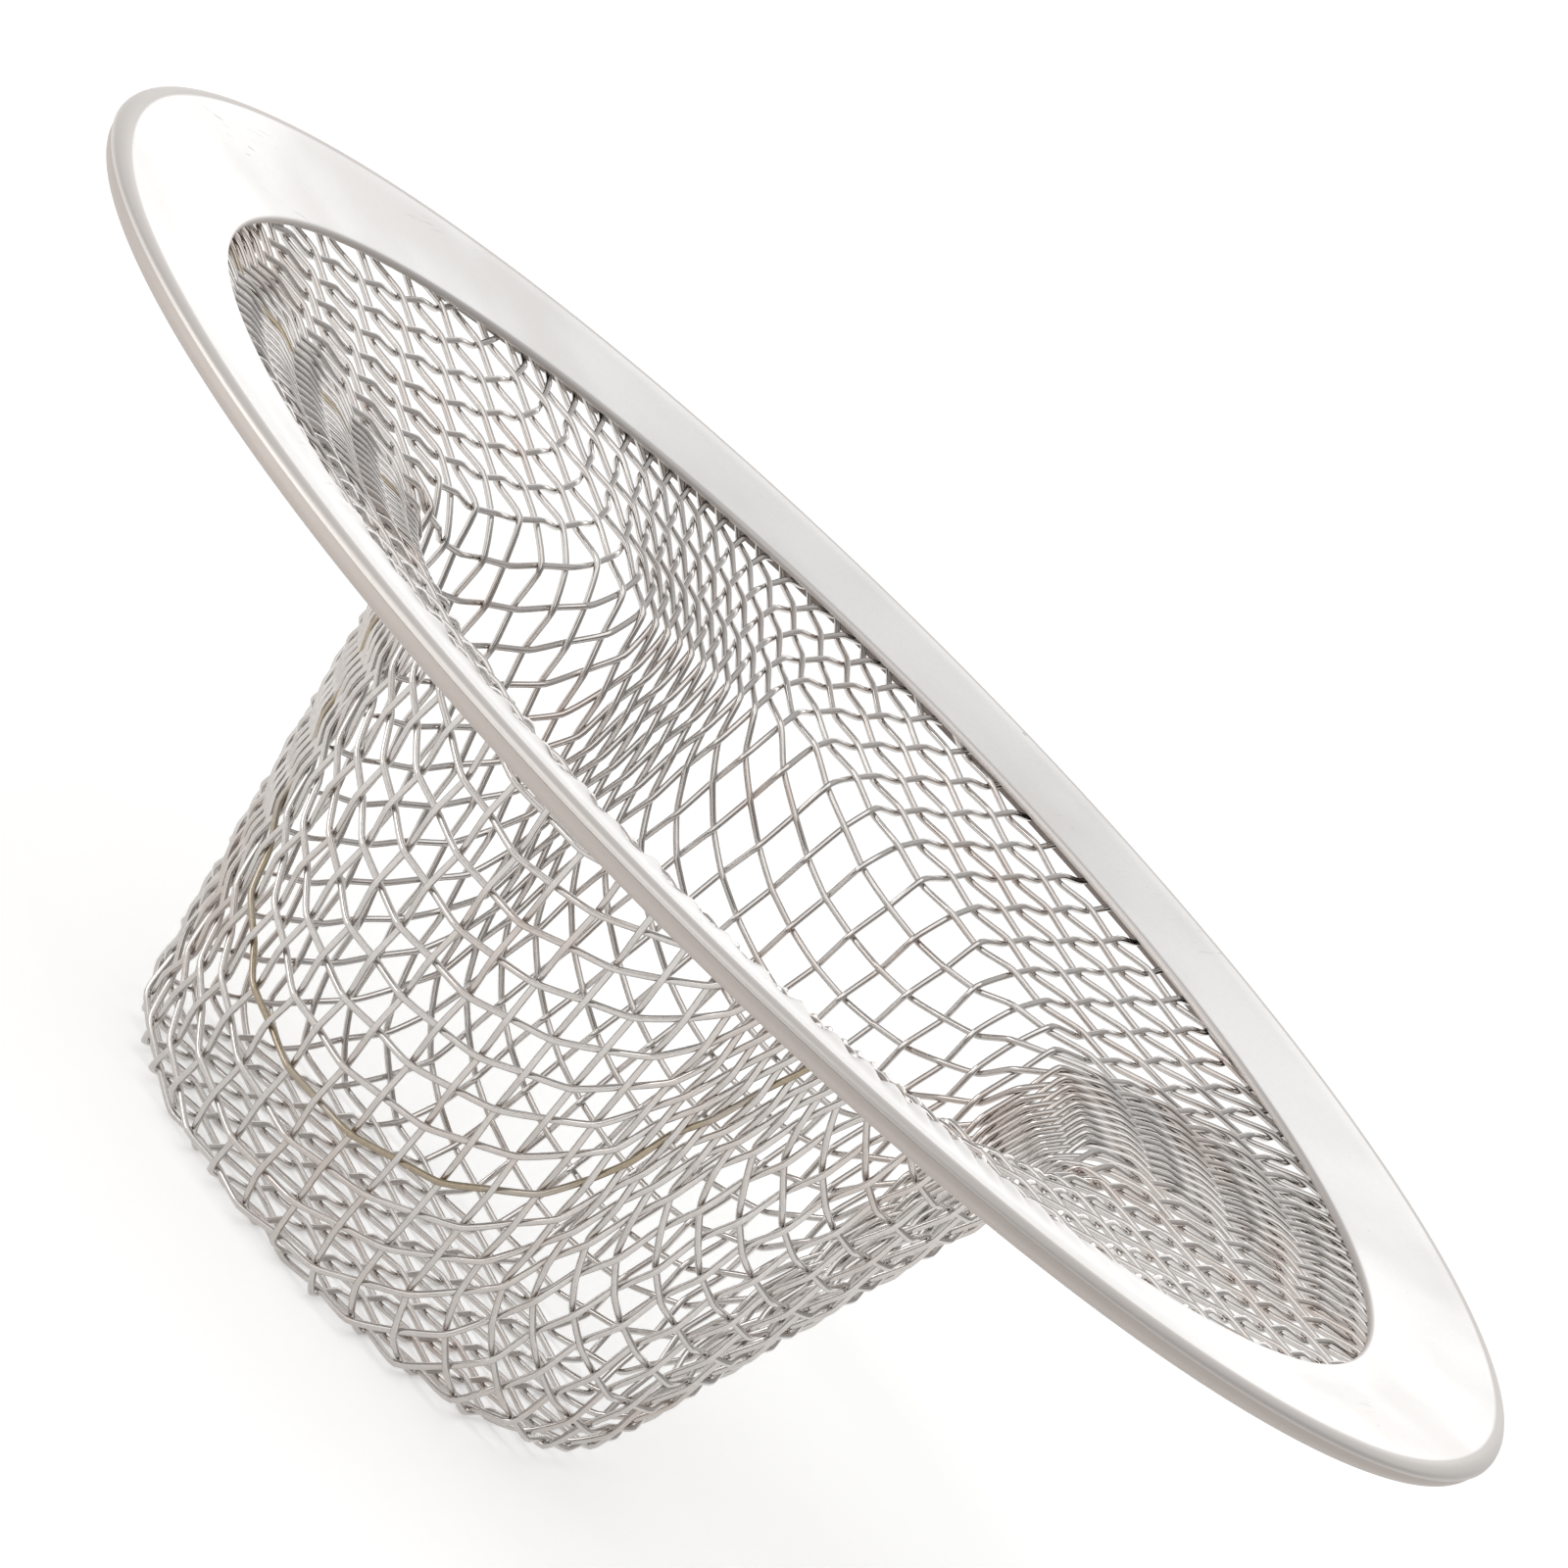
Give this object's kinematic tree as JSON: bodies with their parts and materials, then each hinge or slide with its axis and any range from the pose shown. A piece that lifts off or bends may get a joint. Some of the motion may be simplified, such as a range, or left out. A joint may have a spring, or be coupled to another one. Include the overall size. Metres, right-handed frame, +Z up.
{
  "type": "sink strainer",
  "caption": "Hat-shaped sink strainer: a cup-shaped basket of woven steel wire whose wide brim is held between two stamped rim rings, to catch scraps over a drain.",
  "frame": {"origin": "centre of the underside of the basket's floor, on which the strainer stands", "axes": "+Z up along the strainer's axis, out of its mouth; the wires cross the floor along X and Y"},
  "size_m": [0.11, 0.11, 0.0399],
  "materials": {
    "rim_steel": "satin stamped stainless steel",
    "wire_steel": "bright drawn stainless steel wire"
  },
  "bodies": {
    "root": {"upper_rim_ring": "rim_steel", "lower_rim_ring": "rim_steel", "warp_wire_pair_01": "wire_steel", "weft_wire_pair_01": "wire_steel", "warp_wire_pair_02": "wire_steel", "weft_wire_pair_02": "wire_steel", "warp_wire_pair_03": "wire_steel", "weft_wire_pair_03": "wire_steel", "warp_wire_pair_04": "wire_steel", "weft_wire_pair_04": "wire_steel", "warp_wire_pair_05": "wire_steel", "weft_wire_pair_05": "wire_steel", "warp_wire_pair_06": "wire_steel", "weft_wire_pair_06": "wire_steel", "warp_wire_pair_07": "wire_steel", "weft_wire_pair_07": "wire_steel", "warp_wire_pair_08": "wire_steel", "weft_wire_pair_08": "wire_steel", "warp_wire_pair_09": "wire_steel", "weft_wire_pair_09": "wire_steel", "warp_wire_pair_10": "wire_steel", "weft_wire_pair_10": "wire_steel", "warp_wire_pair_11": "wire_steel", "weft_wire_pair_11": "wire_steel", "warp_wire_pair_12": "wire_steel", "weft_wire_pair_12": "wire_steel", "warp_wire_pair_13": "wire_steel", "weft_wire_pair_13": "wire_steel", "warp_wire_pair_14": "wire_steel", "weft_wire_pair_14": "wire_steel", "warp_wire_pair_15": "wire_steel", "weft_wire_pair_15": "wire_steel", "warp_wire_pair_16": "wire_steel", "weft_wire_pair_16": "wire_steel", "warp_wire_pair_17": "wire_steel", "weft_wire_pair_17": "wire_steel", "warp_wire_pair_18": "wire_steel", "weft_wire_pair_18": "wire_steel", "warp_wire_pair_19": "wire_steel", "weft_wire_pair_19": "wire_steel", "warp_wire_pair_20": "wire_steel", "weft_wire_pair_20": "wire_steel", "warp_wire_pair_21": "wire_steel", "weft_wire_pair_21": "wire_steel", "warp_wire_pair_22": "wire_steel", "weft_wire_pair_22": "wire_steel", "warp_wire_pair_23": "wire_steel", "weft_wire_pair_23": "wire_steel", "warp_wire_pair_24": "wire_steel", "weft_wire_pair_24": "wire_steel", "warp_wire_pair_25": "wire_steel", "weft_wire_pair_25": "wire_steel"}
  },
  "joints": []
}
